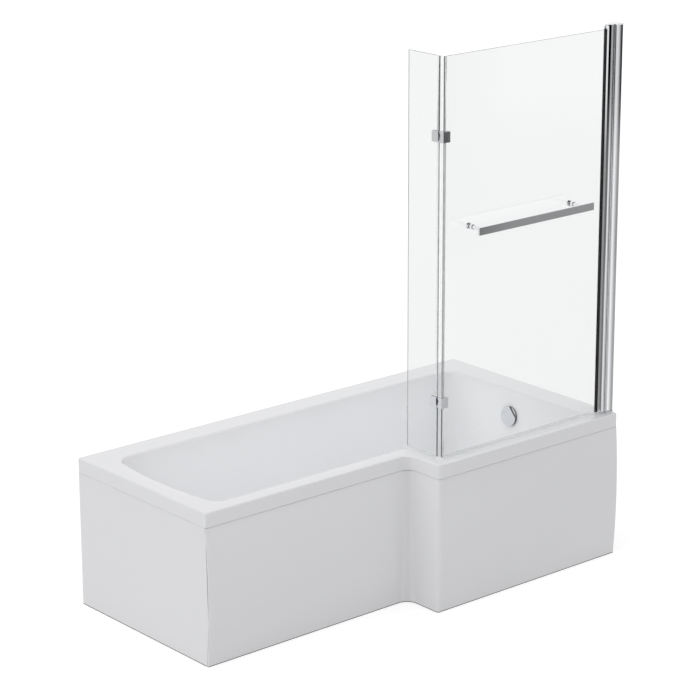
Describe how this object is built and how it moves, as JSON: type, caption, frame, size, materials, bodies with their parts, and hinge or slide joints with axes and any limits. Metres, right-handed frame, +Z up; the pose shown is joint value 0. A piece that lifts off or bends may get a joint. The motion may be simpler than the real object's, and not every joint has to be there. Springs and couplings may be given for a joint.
{
  "type": "shower bath",
  "caption": "L-shaped shower bath with fitted panels, pop-up waste worked from the overflow, and a pivoting glass screen with a folding return pane and towel rail.",
  "frame": {"origin": "on the floor under the middle of the bounding box, the towel rail included", "axes": "+X from the bathing end to the wall at the shower end, -Y towards the front where the bather steps in, +Z up"},
  "size_m": [1.7, 0.886, 1.896],
  "materials": {
    "acrylic": "glossy white acrylic",
    "panel": "glossy white sheet",
    "timber": "raw board and softwood",
    "zinc_steel": "zinc plated",
    "chrome": "polished",
    "profile": "polished",
    "white_plastic": "satin",
    "grey_plastic": "satin",
    "black_rubber": "matt",
    "clear_glass": "toughened, polished edges",
    "clear_seal": "clear flexible strip"
  },
  "bodies": {
    "bath": {"bath_shell": "acrylic", "base_board": "timber", "rim_battens": "timber", "leg_rail_foot": "zinc_steel", "leg_rail_middle": "zinc_steel", "leg_rail_shower": "zinc_steel", "leg_screws": "zinc_steel", "foot_studs": "zinc_steel", "foot_nuts": "zinc_steel", "foot_pads": "grey_plastic", "wall_brackets": "zinc_steel", "front_panel": "panel", "end_panel": "panel", "panel_clips": "zinc_steel", "floor_battens": "timber", "waste_flange": "chrome", "waste_gaskets": "black_rubber", "waste_body": "grey_plastic", "overflow_body": "grey_plastic", "overflow_gasket": "black_rubber", "overflow_bezel": "chrome", "overflow_screws": "zinc_steel", "overflow_hose": "white_plastic", "pull_cable": "black_rubber", "wall_channel": "profile", "pivot_jamb": "profile", "jamb_screws": "zinc_steel", "bottom_cap": "chrome", "top_cap": "chrome"},
    "screen": {"pivot_post": "profile", "post_bushes": "white_plastic", "glazing_gasket": "black_rubber", "main_glass": "clear_glass", "main_bottom_seal": "clear_seal", "main_edge_seal": "clear_seal", "upper_main_leaf": "chrome", "lower_main_leaf": "chrome", "main_leaf_pads": "black_rubber", "main_leaf_bolts": "zinc_steel", "hinge_pins": "zinc_steel", "towel_rail": "chrome", "rail_posts": "chrome", "rail_caps": "chrome", "rail_washers": "clear_seal", "rail_bolts": "zinc_steel"},
    "return": {"return_glass": "clear_glass", "return_bottom_seal": "clear_seal", "return_edge_seal": "clear_seal", "upper_return_leaf": "chrome", "lower_return_leaf": "chrome", "return_leaf_pads": "black_rubber", "return_leaf_bolts": "zinc_steel"},
    "knob": {"overflow_knob": "chrome", "knob_spindle": "zinc_steel"},
    "plug": {"waste_plug": "chrome", "plug_seal": "black_rubber"},
    "rocker": {"lift_rocker": "zinc_steel", "rocker_pin": "zinc_steel"}
  },
  "joints": [
    {"name": "screen_swing", "type": "hinge", "parent": "bath", "child": "screen", "pos_m": [0.804, -0.365, 0], "axis": [0, 0, 1], "range_deg": [-80, 80]},
    {"name": "return_fold", "type": "hinge", "parent": "screen", "child": "return", "pos_m": [0.0625, -0.3515, 0], "axis": [0, 0, -1], "range_deg": [0, 90]},
    {"name": "knob_turn", "type": "hinge", "parent": "bath", "child": "knob", "pos_m": [0.73825, 0.018, 0.431], "axis": [-0.9961, 0, 0.0887], "range_deg": [0, 90]},
    {"name": "plug_lift", "type": "slide", "parent": "bath", "child": "plug", "axis": [0, 0, 1], "range_m": [0, 0.012]},
    {"name": "rocker_turn", "type": "hinge", "parent": "bath", "child": "rocker", "pos_m": [0.58, 0.037, 0.072], "axis": [-1, 0, 0], "range_deg": [0, 36.82]}
  ],
  "couplings": [
    {"joint": "plug_lift", "follows": "knob_turn", "m_per_rad": 0.007639},
    {"joint": "rocker_turn", "follows": "knob_turn", "ratio": 0.40908}
  ]
}
